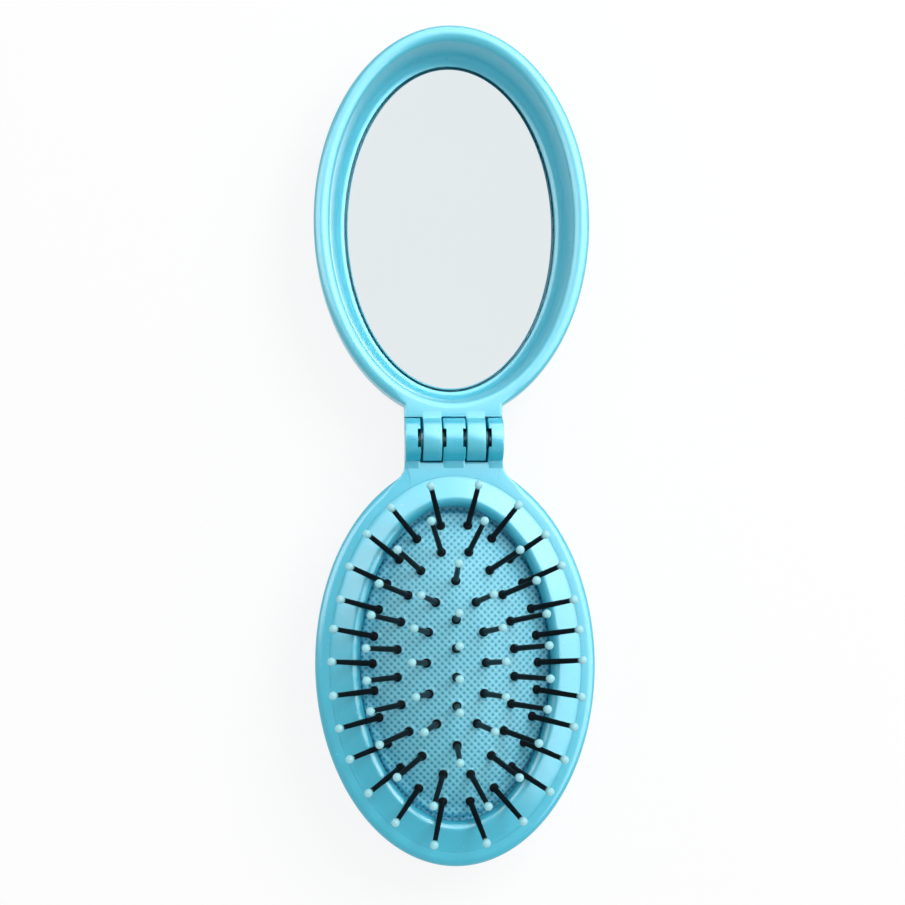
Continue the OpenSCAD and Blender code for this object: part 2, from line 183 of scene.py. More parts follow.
def mitred(points: np.ndarray) -> np.ndarray:
    """Outward steps at the corners of a counterclockwise polygon that move each side by one.

    With the normals m and n of the sides before and after a corner it is
    (m + n) / (1 + m.n), kept short at very sharp corners.
    """
    sides = np.roll(points, -1, 0) - points
    lengths = np.linalg.norm(sides, axis=1, keepdims=True)
    after = np.column_stack([sides[:, 1], -sides[:, 0]]) / lengths
    before = np.roll(after, 1, 0)
    return (before + after) / np.maximum(1 + (before * after).sum(1, keepdims=True), 0.4)


def prism(section: np.ndarray, stations: list[tuple[float, float]]) -> tuple[np.ndarray, list]:
    """Carry a section drawn in y and z along X.

    Args:
        section: counterclockwise corners, y and z.
        stations: for each ring its x, and how far it is drawn in.

    Returns:
        Points and faces, with flat ends.
    """
    inward = mitred(section)
    return sweep([
        np.column_stack([np.full(len(section), x), section - inward * inset])
        for x, inset in stations])


def joined(parts: list[tuple[np.ndarray, list]]) -> tuple[np.ndarray, list]:
    """Put several skins into one, with the point numbers of their faces moved on."""
    points, faces, start = [], [], 0
    for part_points, part_faces in parts:
        points.append(part_points)
        faces += [[index + start for index in face] for face in part_faces]
        start += len(part_points)
    return np.concatenate(points), faces


# Finishes


def add(
    tree: bpy.types.NodeTree, kind: str, inputs: dict | None = None, **settings: object
) -> bpy.types.Node:
    """Add a node with its settings, values and links.

    Args:
        tree: node tree of a material or of the world.
        kind: Blender's name of the node.
        inputs: a value or another node's output for each input's name or number.
        settings: the node's own properties.

    Returns:
        The new node.
    """
    made = tree.nodes.new(kind)
    for key, value in settings.items():
        setattr(made, key, value)
    for key, value in (inputs or {}).items():
        if isinstance(value, bpy.types.NodeSocket):
            tree.links.new(value, made.inputs[key])
        else:
            made.inputs[key].default_value = value
    return made


def fresh_tree(owner: bpy.types.Material | bpy.types.World) -> bpy.types.NodeTree:
    """Empty node tree of a material or of the world."""
    owner.use_nodes = True
    owner.node_tree.nodes.clear()
    return owner.node_tree


@dataclass(frozen=True)
class Finish:
    """Moulded or turned surface with a faint mottle and a fine texture.

    The colour drifts between two close tones on noise of mottle_mm, and the
    roughness and the relief follow finer noise of grain_mm.
    """

    name: str
    colour: str
    second: str
    roughness: float
    grain_mm: float
    relief: float
    mottle_mm: float = 14.0
    ior: float = 1.5
    metallic: float = 0.0
    coat: float = 0.0
    stretch: tuple[float, float, float] = (1.0, 1.0, 1.0)
    scatter_mm: float = 0.0
    specular: float = 0.5
    gloss_spread: tuple[float, float] = (0.85, 1.2)
    grain_rise: float = 0.3
    scatter_share: float = 0.15
    scatter_tint: tuple[float, float, float] = (0.4, 0.9, 1.0)

    def tone(self, tree: bpy.types.NodeTree, place: bpy.types.NodeSocket) -> bpy.types.NodeSocket:
        """Colour of the surface, mixed between its two tones by broad noise."""
        broad = add(
            tree, "ShaderNodeTexNoise",
            {"Vector": place, "Scale": 1 / (self.mottle_mm * MM), "Detail": 3.0})
        mix = add(
            tree, "ShaderNodeMix",
            {"Factor": broad.outputs["Fac"], "A": linear(self.colour), "B": linear(self.second)},
            data_type="RGBA",
        )
        return mix.outputs["Result"]

    def height(self, tree: bpy.types.NodeTree, place: bpy.types.NodeSocket) -> bpy.types.NodeSocket:
        """Fine relief of the surface, from 0 to 1."""
        fine = add(
            tree, "ShaderNodeTexNoise",
            {"Vector": place, "Scale": 1 / (self.grain_mm * MM), "Detail": 2.0})
        return fine.outputs["Fac"]

    def material(self) -> bpy.types.Material:
        """Build the material of this finish once and hand it out again later."""
        known = bpy.data.materials.get(self.name)
        if known:
            return known
        made = bpy.data.materials.new(self.name)
        tree = fresh_tree(made)
        spot = add(tree, "ShaderNodeTexCoord")
        place = add(tree, "ShaderNodeMapping", {"Vector": spot.outputs["Object"], "Scale": self.stretch})
        height = self.height(tree, place.outputs["Vector"])
        least, most = (self.roughness * share for share in self.gloss_spread)
        gloss = add(tree, "ShaderNodeMapRange", {"Value": height, "To Min": least, "To Max": most})
        depth = self.grain_mm * MM * self.grain_rise
        bump = add(
            tree, "ShaderNodeBump",
            {"Height": height, "Strength": self.relief, "Distance": depth})
        surface = add(
            tree, "ShaderNodeBsdfPrincipled",
            {
                "Base Color": self.tone(tree, place.outputs["Vector"]),
                "Roughness": gloss.outputs["Result"],
                "Metallic": self.metallic,
                "IOR": self.ior,
                "Normal": bump.outputs["Normal"],
                "Coat Weight": self.coat,
                "Specular IOR Level": self.specular,
                "Subsurface Weight": self.scatter_share if self.scatter_mm else 0.0,
                "Subsurface Radius": self.scatter_tint,
                "Subsurface Scale": self.scatter_mm * MM,
            },
        )
        add(tree, "ShaderNodeOutputMaterial", {"Surface": surface.outputs["BSDF"]})
        return made


@dataclass(frozen=True)
class DimpledRubber(Finish):
    """Rubber moulded with a net of fine ridges round small dimples.

    With p = x/pitch + y/(2 row) and q = x/pitch - y/(2 row), a dimple lies where p and
    q are both whole, and its depth is ((1 + cos 2 pi p)(1 + cos 2 pi q) / 4)^sharpness.
    """

    pitch_mm: float = 1.6
    row_mm: float = 0.81
    sharpness: float = 0.8
    # The hollow colour is painted shade that darkens the rubber in each dimple.
    hollow: str = "#2690ab"

    def dimple(self, tree: bpy.types.NodeTree, place: bpy.types.NodeSocket) -> bpy.types.NodeSocket:
        """How deep the surface lies in a dimple, from 0 on a ridge to 1 in the middle."""
        apart = add(tree, "ShaderNodeSeparateXYZ", {"Vector": place})
        across = add(
            tree, "ShaderNodeMath",
            {0: apart.outputs["X"], 1: 2 * math.pi / (self.pitch_mm * MM)}, operation="MULTIPLY",
        )
        along = add(
            tree, "ShaderNodeMath",
            {0: apart.outputs["Y"], 1: math.pi / (self.row_mm * MM)}, operation="MULTIPLY",
        )
        waves = []
        for operation in ("ADD", "SUBTRACT"):
            angle = add(
                tree, "ShaderNodeMath",
                {0: across.outputs["Value"], 1: along.outputs["Value"]}, operation=operation,
            )
            wave = add(tree, "ShaderNodeMath", {0: angle.outputs["Value"]}, operation="COSINE")
            waves.append(add(
                tree, "ShaderNodeMath",
                {0: wave.outputs["Value"], 1: 0.5, 2: 0.5}, operation="MULTIPLY_ADD"))
        product = add(
            tree, "ShaderNodeMath",
            {0: waves[0].outputs["Value"], 1: waves[1].outputs["Value"]}, operation="MULTIPLY",
        )
        return add(
            tree, "ShaderNodeMath", {0: product.outputs["Value"], 1: self.sharpness}, operation="POWER"
        ).outputs["Value"]

    def tone(self, tree: bpy.types.NodeTree, place: bpy.types.NodeSocket) -> bpy.types.NodeSocket:
        """Colour of the rubber, with painted shade darker in each dimple."""
        broad = super().tone(tree, place)
        mix = add(
            tree, "ShaderNodeMix",
            {"Factor": self.dimple(tree, place), "A": broad, "B": linear(self.hollow)},
            data_type="RGBA",
        )
        return mix.outputs["Result"]


class Palette(Enum):
    """Finishes of the pieces."""

    # Injection-moulded ABS from a polished tool: even colour, soft wide gloss
    CASING = Finish(
        "abs_moulded_aqua", "#3bc1dc", "#37bdd8", 0.25, 0.9, 0.008, ior=1.6, scatter_mm=0.8)
    # Same plastic as the casing, painted a paler tone that stands for the brighter light on the lid: painted
    # light.
    LID = Finish(
        "abs_moulded_aqua_lid", "#50c4da", "#4cc0d6", 0.29, 0.9, 0.006, ior=1.6, scatter_mm=0.8)
    BUTTON = Finish("abs_moulded_aqua_button", "#37bbd6", "#33b7d2", 0.3, 0.7, 0.06, ior=1.53)
    # Silicone-like rubber moulded against a textured tool: matt, with a weak broad sheen
    PAD = DimpledRubber(
        "rubber_moulded_dimpled", "#84dbf0", "#7ad3e9", 0.5, 0.4, 0.2, ior=1.45, specular=0.3)
    # Black nylon, moulded: nearly black, with a satin streak along each pin
    PIN = Finish(
        "nylon_moulded_black", "#04070c", "#080c12", 0.42, 0.5, 0.15, mottle_mm=4, specular=0.12)
    # Epoxy drops, cured in air: smooth and glossy, slightly milky
    BALL = Finish(
        "epoxy_drop_aqua", "#a8e6ee", "#9ddfe9", 0.24, 0.6, 0.03, mottle_mm=3, ior=1.55, scatter_mm=0.6)
    # Float glass silvered behind: a clean reflection with a faint green-grey cast
    GLASS = Finish("glass_silvered", "#e6ecee", "#e2e9eb", 0.02, 6.0, 0.002, mottle_mm=60, metallic=1.0)
    # Ground edge of the glass: grey-green and frosted
    GLASS_EDGE = Finish("glass_ground_edge", "#8fa5a4", "#7d9594", 0.55, 0.2, 0.3, ior=1.52)
    # Drawn steel wire: bright, with fine lines along it
    STEEL = Finish(
        "steel_drawn_wire", "#b9bbbe", "#a8abaf", 0.3, 0.15, 0.3, mottle_mm=5, metallic=1.0,
        stretch=(0.1, 1.0, 1.0))
    # Polyethylene foam tape: white, matt, with open cells
    TAPE = Finish("foam_tape_white", "#ecebe4", "#dddcd4", 0.85, 0.35, 0.8)
    # Natural polypropylene: milky, satin
    PUSHER = Finish("polypropylene_natural", "#dfeaec", "#d3e1e4", 0.42, 0.6, 0.1, ior=1.49, scatter_mm=1.0)


def dress(piece: bpy.types.Object, finish: Palette) -> None:
    """Give all of a piece one finish."""
    if piece.data.materials:
        for index in range(len(piece.data.materials)):
            piece.data.materials[index] = finish.value.material()
    else:
        piece.data.materials.append(finish.value.material())


# Plan of the two shells


@dataclass(frozen=True)
class Plan:
    """Ovals that the brush and the lid share, seen from above.

    The oval of half width a is x = a cos t, y = (a + extra) sin t, round a middle that
    lies centre away from the hinge axis.
    """

    half_width: float = 31.3
    extra: float = 13.7
    centre: float = 50.0
    rim: float = 18.0
    axis: float = 18.15
    neck: float = 11.0
    slot: float = 5.2

    def oval(self, turn: np.ndarray, half_width: float | np.ndarray) -> np.ndarray:
        """Points of an oval round its own middle, x and y."""
        return np.stack([half_width * np.cos(turn), (half_width + self.extra) * np.sin(turn)], -1)

    def ring(self, turn: np.ndarray, half_width: float, height: float) -> np.ndarray:
        """Points of an oval at one height, round its own middle."""
        return np.column_stack([self.oval(turn, half_width), np.full(len(turn), height)])


@dataclass(frozen=True)
class Outline:
    """Line round a shell and its neck, with the neck towards +Y."""

    points: np.ndarray
    normals: np.ndarray
    turns: np.ndarray
    neckness: np.ndarray


@dataclass
class Shell:
    """What the brush casing and the lid have in common: back edge, wall, rim and neck."""

    plan: Plan
    fillet: float = 0.0
    edge_width: float = 10.0
    edge_height: float = 12.0
    rim_radius: float = 1.7
    neck_edge: float = 0.35
    neck_from: float = 9.3
    neck_to: float = 11.3

    def outline(self) -> Outline:
        """Line round the oval, the hollow fillet, the neck's side and its end.

        A quarter is made from the oval's widest point to the middle of the neck's end,
        the other quarter is its mirror image, and the far half is a plain oval.
        """
        plan = self.plan
        end = plan.centre - plan.slot
        if self.fillet:
            spots = np.radians(np.linspace(90, 45, 451))
            edge = plan.oval(spots, plan.half_width)
            half_length = plan.half_width + plan.extra
            out = np.column_stack([np.cos(spots) / plan.half_width, np.sin(spots) / half_length])
            out /= np.linalg.norm(out, axis=1, keepdims=True)
            reach = edge[:, 0] + self.fillet * out[:, 0]
            foot = float(np.interp(plan.neck + self.fillet, reach, spots))
            index = int(np.argmin(abs(spots - foot)))
            middle = edge[index] + self.fillet * out[index]
            middle[0] = plan.neck + self.fillet
            first = math.atan2(-out[index][1], -out[index][0]) % (2 * math.pi)
            bend = np.linspace(first, math.pi, 14)[1:]
            hollow = middle + self.fillet * np.column_stack([np.cos(bend), np.sin(bend)])
        else:
            foot = math.acos(plan.neck / plan.half_width)
            hollow = np.empty((0, 2))
        oval = plan.oval(np.linspace(0, foot, 80), plan.half_width)
        start = hollow[-1] if len(hollow) else oval[-1]
        side = np.linspace(start, [plan.neck, end], 5)[1:]
        across = np.linspace([plan.neck, end], [0, end], 12)[1:]
        quarter = np.concatenate([oval, hollow, side, across])
        other = quarter[-2::-1] * [-1, 1]
        far = plan.oval(np.linspace(math.pi, 2 * math.pi, 181)[1:-1], plan.half_width)
        points = np.concatenate([quarter, other, far])
        upright, sideways = points[:, 1] / (plan.half_width + plan.extra), points[:, 0] / plan.half_width
        turns = np.arctan2(upright, sideways)
        away = np.abs(np.degrees(turns) - 90)
        neckness = 1 - smooth(90 - math.degrees(foot) - 2, 90 - math.degrees(foot) + 8, away)
        return Outline(points, mitred(points), turns, neckness)

    def outside(self, line: Outline) -> Rows:
        """Rings up the outside of the shell, from its flat back to the inner edge of its rim rounding.

        The back edge is a quarter ellipse, the wall is upright, and the neck grows out
        of it between two heights. The rim is a quarter round, smaller on the neck.
        """
        plan = self.plan
        back = plan.half_width - self.edge_width
        lean = np.radians(np.concatenate([np.linspace(0, 72, 17), np.linspace(75, 90, 8)]))
        widths = back + self.edge_width * np.sin(lean)
        heights = self.edge_height * (1 - np.cos(lean))
        widths = np.append(widths, [plan.half_width] * 3)
        heights = np.append(heights, [13.0, 14.5, plan.rim - self.rim_radius])
        bulge = line.points - plan.oval(line.turns, plan.half_width)
        rings = []
        for width, height in zip(widths, heights):
            grown = smooth(self.neck_from, self.neck_to, np.array(height))
            flat = plan.oval(line.turns, width) + grown * bulge
            rings.append(np.column_stack([flat, np.full(len(flat), height)]))
        radius = self.rim_radius + (self.neck_edge - self.rim_radius) * line.neckness
        for angle in np.radians(np.linspace(0, 90, 10)):
            flat = line.points - line.normals * (radius * (1 - math.cos(angle)))[:, None]
            rings.append(np.column_stack([flat, plan.rim - radius * (1 - math.sin(angle))]))
        return rings


# Hinge


@dataclass(frozen=True)
class Barrel:
    """Knuckles and lugs, each a barrel with a web that ties it to its shell.

    Seen along the axis, a barrel's outline is the larger of its circle and its web at
    every angle, and the outline is carried along the axis.
    """

    plan: Plan
    radius: float = 4.8
    bevel: float = 0.25
    web_inside: float = 1.5
    slope: float = 6 / 13.2
    step: float = 0.02
    apron_turn: tuple[float, float] = (182.0, 255.0)

    def reach(self, towards: int) -> tuple[np.ndarray, np.ndarray]:
        """Angles round the axis, and how far the outline lies from it at each.

        Args:
            towards: -1 for a web towards -Y, 1 for one towards +Y.
        """
        top = self.plan.rim - self.plan.axis - self.step
        length = self.plan.slot + self.web_inside
        corners = np.array([
            [0, top], [0, -self.radius],
            [length, -self.radius - self.slope * length], [length, top],
        ]) * [towards, 1]
        marks = np.arctan2(corners[1:, 1], corners[1:, 0])
        fold = math.atan2(top, towards * math.sqrt(self.radius**2 - top**2))
        angles = np.sort(np.unique(np.round(np.concatenate(
            [np.radians(np.arange(-180, 180, 4.0)), marks, [fold]]) % (2 * math.pi), 6)))
        way = np.column_stack([np.cos(angles), np.sin(angles)])
        far = np.full(len(angles), self.radius)
        for a, b in zip(corners, np.roll(corners, -1, 0)):
            edge = b - a
            cross = way[:, 0] * edge[1] - way[:, 1] * edge[0]
            cross = np.where(abs(cross) < 1e-9, 1e-9, cross)
            distance = (a[0] * edge[1] - a[1] * edge[0]) / cross
            share = (a[0] * way[:, 1] - a[1] * way[:, 0]) / cross
            hit = (distance > 0) & (share > -1e-6) & (share < 1 + 1e-6)
            far = np.where(hit, np.maximum(far, distance), far)
        return angles, far

    def skin(self, towards: int, stations: list[tuple[float, float | None]]) -> tuple[np.ndarray, list]:
        """Closed skin through circles and outlines along the axis.

        Args:
            towards: the side of the axis on which the web lies.
            stations: for each ring its x, and either a circle's radius or, as a
                negative number or zero, how far it lies inside the outline.
        """
        angles, far = self.reach(towards)
        rings = []
        for x, size in stations:
            radius = far + size if size <= 0 else np.full(len(far), size)
            rings.append(np.column_stack([
                np.full(len(far), x), radius * np.cos(angles), self.plan.axis + radius * np.sin(angles)]))
        return sweep(rings, loop=True)

    def notched(self, towards: int, half_width: float) -> np.ndarray:
        """Outline with a round-bottomed slot cut from its top down past the axis.

        Args:
            towards: the side of the axis on which the web lies.
            half_width: half the slot's width.

        Returns:
            Counterclockwise corners, y and z.
        """
        angles, far = self.reach(towards)
        lip = math.acos(half_width / self.radius)
        around = np.concatenate([[math.pi - lip], angles[(angles > math.pi - lip) & (angles < 2 * math.pi)],
                                 2 * math.pi + angles[angles < lip], [2 * math.pi + lip]])
        reach = np.interp(around, np.concatenate([angles, 2 * math.pi + angles]), np.tile(far, 2))
        reach[[0, -1]] = self.radius
        outer = reach[:, None] * np.column_stack([np.cos(around), np.sin(around)])
        round_under = np.linspace(0, -math.pi, 19)
        slot = half_width * np.column_stack([np.cos(round_under), np.sin(round_under)])
        return np.concatenate([outer, slot]) + [0, self.plan.axis]

    def apron(self, towards: int, spans: list[tuple[float, float]]) -> list[tuple[np.ndarray, list]]:
        """Skins of the aprons that hang from a neck's end below the other shell's barrels.

        An apron fills the web's outline up to a hollow seat about the axis, so that the
        barrel turns clear of it.

        Args:
            towards: the side of the axis on which the neck lies.
            spans: least and greatest x of each apron.
        """
        low, high = np.radians(self.apron_turn)
        angles, far = self.reach(-1)
        marks = angles[(angles > low) & (angles < high)]
        turn = np.unique(np.concatenate([np.linspace(low, high, 20), marks]))
        arc = np.column_stack([np.cos(turn), np.sin(turn)])
        section = np.concatenate([np.interp(turn, angles, far)[:, None] * arc, self.plan.slot * arc[::-1]])
        if towards > 0:
            section = section[::-1] * [-1, 1]
        section = section + [0, self.plan.axis]
        return [prism(section, [(start, 0.0), (stop, 0.0)]) for start, stop in spans]

    def ease(self, x: float, inward: int) -> list[tuple[float, float]]:
        """Stations and insets over the rounded edge of an end face at x, going onto the barrel."""
        return [
            (x + inward * self.bevel * (1 - math.cos(t)), self.bevel * (1 - math.sin(t)))
            for t in np.radians([0, 30, 60, 90])]

    def face(self, x: float, inward: int) -> list[tuple[float, float]]:
        """The same edge for a skin's stations, which count inwards as negative."""
        return [(place, -inset) for place, inset in self.ease(x, inward)]


@dataclass
class Casing(Shell):
    """Casing of the brush: shell, seat of the pad frame, well of the button, knuckles."""

    fillet: float = 4.5
    wall: float = 2.2
    crease: float = 28.1
    seat_depth: float = 2.2
    shelf: float = 1.6
    well: float = 9.8
    well_wall: float = 1.4
    well_height: float = 9.2
    well_bevel: float = 0.8
    well_edge: float = 0.2
    knuckle_from: float = 7.6
    middle_half: float = 2.5
    recess: float = 2.05
    recess_depth: float = 0.65
    lap: float = 0.05
    bevel_lap: float = 0.4
    bore: float = 1.0

    def shell(self) -> tuple[np.ndarray, list]:
        """Skin of the shell: up the outside, over the rim, down inside and out by the well."""
        plan, line = self.plan, self.outline()
        rings = self.outside(line)
        seat = plan.rim - self.seat_depth
        inner = plan.half_width - self.wall
        profile = [
            (self.crease + 0.02, plan.rim), (self.crease, plan.rim - 0.03), (self.crease, seat),
            (self.crease - self.shelf, seat), (self.crease - self.shelf, seat - self.shelf),
            (inner, seat - self.shelf),
        ]
        back = plan.half_width - self.edge_width
        lean = np.radians(np.linspace(90, 0, 13))
        profile += [
            (back + (self.edge_width - self.wall) * math.sin(t),
             self.wall + (self.edge_height - self.wall) * (1 - math.cos(t)))
            for t in lean]
        outer_well = self.well + self.well_wall
        profile += [
            (outer_well, self.wall), (outer_well, self.well_height - self.well_edge),
            (outer_well - self.well_edge, self.well_height), (self.well + self.well_edge, self.well_height),
            (self.well, self.well_height - self.well_edge), (self.well, self.well_bevel + 0.5)]
        profile += [
            (self.well + (self.well_bevel + 0.1) * (1 - math.cos(t)),
             (self.well_bevel + 0.4) * (1 - math.sin(t)))
            for t in np.radians(np.linspace(0, 90, 7))]
        rings += [plan.ring(line.turns, width, height) for width, height in profile]
        points, faces = sweep(rings, loop=True)
        return points - [0, plan.centre, 0], faces

    def knuckles(self) -> list[tuple[np.ndarray, list]]:
        """Skins of the outer knuckles and the middle one, with slots for the lugs' bosses."""
        barrel = Barrel(self.plan)
        slotted = barrel.notched(-1, self.recess)
        skins = []
        for side in (-1, 1):
            outer = side * (self.plan.neck - barrel.step)
            inner = side * self.knuckle_from
            pocket = inner + side * self.recess_depth
            stations = [(outer, self.bore), *barrel.face(outer, -side), (pocket, 0.0), (pocket, self.bore)]
            skins.append(barrel.skin(-1, stations))
            stations = [(pocket + side * self.lap, 0.0), *reversed(barrel.ease(inner, side))]
            skins.append(prism(slotted, stations))
        half, depth = self.middle_half, self.middle_half - self.recess_depth
        skins.append(barrel.skin(-1, [(depth, self.bore), (depth, 0.0), (-depth, 0.0), (-depth, self.bore)]))
        for side in (-1, 1):
            stations = [(side * (depth - self.lap), 0.0), *reversed(barrel.ease(side * half, -side))]
            skins.append(prism(slotted, stations))
        inner, outer = half - self.bevel_lap, self.knuckle_from + self.bevel_lap
        return skins + barrel.apron(-1, [(-outer, -inner), (inner, outer)])

    def build(self) -> bpy.types.Object:
        """Make the casing's piece, each skin turned to face outwards first."""
        skins = [outwards(*skin) for skin in (self.shell(), *self.knuckles())]
        return make_piece("casing", *joined(skins), Palette.CASING)


@dataclass
class Lid(Shell):
    """Lid: shell with a bowl-like inside, a pocket for the mirror, and two lugs."""

    lip_land: float = 0.2
    lip: float = 1.9
    draft: float = 1.0
    depth: float = 12.0
    cove: float = 4.5
    mirror_half: float = 23.8
    mirror_gap: float = 0.5
    glass: float = 2.2
    tape: float = 0.8
    bevel: float = 0.3
    lug_from: float = 2.8
    lug_width: float = 4.2
    bevel_lap: float = 0.4
    boss: float = 1.8
    boss_inner: float = 0.7
    boss_outer: float = 1.0
    boss_edge: float = 0.15
    bore: float = 1.06

    def shell(self) -> tuple[np.ndarray, list]:
        """Skin of the shell: up the outside, over the rim, down the wall and cove to the pocket."""
        plan, line = self.plan, self.outline()
        rings = self.outside(line)
        lip = plan.half_width - self.rim_radius - self.lip_land - self.lip
        foot = lip - self.draft
        pocket = self.mirror_half + self.mirror_gap
        floor = plan.rim - self.depth
        profile = [
            (lip + self.lip * (1 - math.sin(t)), plan.rim - self.lip * (1 - math.cos(t)))
            for t in np.radians(np.linspace(0, 90, 10))]
        profile += [
            (pocket + (foot - pocket) * math.cos(t), floor + self.cove * (1 - math.sin(t)))
            for t in np.radians(np.linspace(0, 86, 12))]
        profile += [(pocket + 0.08, floor), (pocket, floor - 0.1), (pocket, floor - self.glass - self.tape)]
        rings += [plan.ring(line.turns, width, height) for width, height in profile]
        points, faces = sweep(rings)
        return points * [1, -1, 1] + [0, plan.centre, 0], faces

    def lugs(self) -> list[tuple[np.ndarray, list]]:
        """Skins of the two lugs with a thrust boss at each end."""
        barrel = Barrel(self.plan)
        skins = []
        for side in (-1, 1):
            inner = side * self.lug_from
            outer = side * (self.lug_from + self.lug_width)
            inner_end, outer_end = inner - side * self.boss_inner, outer + side * self.boss_outer
            edge = self.boss_edge
            stations = [
                (outer_end, self.bore), (outer_end, self.boss - edge), (outer_end - side * edge, self.boss),
                (outer, self.boss), *barrel.face(outer, -side), *reversed(barrel.face(inner, side)),
                (inner, self.boss), (inner_end + side * edge, self.boss), (inner_end, self.boss - edge),
                (inner_end, self.bore)]
            skins.append(barrel.skin(1, stations))
        low, edge = self.lug_from + self.bevel_lap, self.plan.neck - barrel.step
        high = self.lug_from + self.lug_width - self.bevel_lap
        return skins + barrel.apron(1, [(-edge, -high), (-low, low), (high, edge)])

    def build(self) -> bpy.types.Object:
        """Make the lid's piece."""
        skins = [outwards(*skin) for skin in (self.shell(), *self.lugs())]
        return make_piece("lid", *joined(skins), Palette.LID)

    def mirror(self) -> bpy.types.Object:
        """Make the mirror: a flat oval glass with a fine bevel and a ground edge."""
        plan = self.plan
        turns = round_turns(256)
        top = plan.rim - self.depth
        levels = [
            (self.mirror_half - 0.1, top - self.glass), (self.mirror_half, top - self.glass + 0.1),
            (self.mirror_half, top - self.bevel), (self.mirror_half - self.bevel, top)]
        points, faces = sweep([plan.ring(turns, width, height) for width, height in levels])
        piece = make_piece("mirror_glass", points + [0, plan.centre, 0], faces, sharp=20)
        piece.data.materials.append(Palette.GLASS.value.material())
        piece.data.materials.append(Palette.GLASS_EDGE.value.material())
        sides = np.zeros(len(faces), int)
        sides[: 2 * len(turns)] = 1
        piece.data.polygons.foreach_set("material_index", sides.tolist())
        return piece


@dataclass
class PadFrame:
    """Raised ring round the pad: a shallow cone up to a rounded crest that curls inwards."""

    plan: Plan
    outer: float = 28.07
    valley: float = 0.12
    seat_depth: float = 2.2
    opening: float = 21.4
    crest_rise: float = 1.3
    crest_radius: float = 1.7
    thickness: float = 1.6
    foot: float = 13.49

    def build(self) -> bpy.types.Object:
        """Make the ring's piece.

        The cone touches the crest's round where the two have the same slope. With s the
        share of the way in it rises in step with s - v (1 - exp(-s/v)), so it leaves the rim level.
        """
        rim = self.plan.rim
        middle = (self.opening + self.crest_radius, rim + self.crest_rise - self.crest_radius)
        run, rise = self.outer - middle[0], rim - middle[1]
        tilt = math.acos(self.crest_radius / math.hypot(run, rise)) - math.atan2(run, rise)
        start = -tilt
        round_over = [
            (middle[0] + self.crest_radius * math.sin(t), middle[1] + self.crest_radius * math.cos(t))
            for t in np.linspace(start, -math.pi / 2, 16)]
        run, rise = round_over[0][0] - self.outer, round_over[0][1] - rim
        share = np.array([0.0, 0.05, 0.1, 0.16, 0.23, 0.32, 0.45, 0.6, 0.75, 0.9])
        climb = share - self.valley * (1 - np.exp(-share / self.valley))
        climb /= 1 - self.valley * (1 - math.exp(-1 / self.valley))
        cone = list(zip(self.outer + run * share, rim + rise * climb))
        inner = self.opening + self.thickness
        profile = [(self.outer, rim - self.seat_depth), (self.outer, rim - 0.05), *cone, *round_over,
                   (self.opening, self.foot + 0.3), (self.opening + 0.3, self.foot), (inner, self.foot),
                   (inner, middle[1] - 0.6), (middle[0] + self.thickness, rim - 0.3),
                   (self.outer - 1.2, rim - 0.8),
                   (self.outer - 1.2, rim - self.seat_depth)]
        turns = round_turns(320)
        rings = [self.plan.ring(turns, width, height) for width, height in profile]
        points, faces = sweep(rings, loop=True)
        return make_piece("pad_ring", points - [0, self.plan.centre, 0], faces, Palette.CASING)


# Pad and pins


